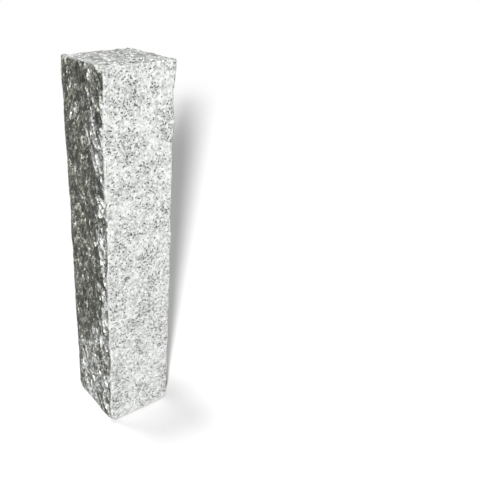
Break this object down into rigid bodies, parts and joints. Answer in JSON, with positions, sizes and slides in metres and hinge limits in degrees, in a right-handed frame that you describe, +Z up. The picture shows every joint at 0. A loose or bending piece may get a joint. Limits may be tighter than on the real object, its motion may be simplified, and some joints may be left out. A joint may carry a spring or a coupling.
{
  "type": "granite palisade",
  "caption": "Upright square post of split granite with two dressed faces, rough split sides and head, for edging beds and holding small slopes.",
  "frame": {"origin": "middle of the foot's flat face, which stands on the floor", "axes": "+Z up along the post, -Y the dressed front, +Y the dressed back, -X and +X the split sides"},
  "size_m": [0.0997, 0.0997, 0.5],
  "materials": {
    "granite": "rough split and bush-hammered grey granite, matt"
  },
  "bodies": {
    "root": {"granite_palisade": "granite"}
  },
  "joints": []
}
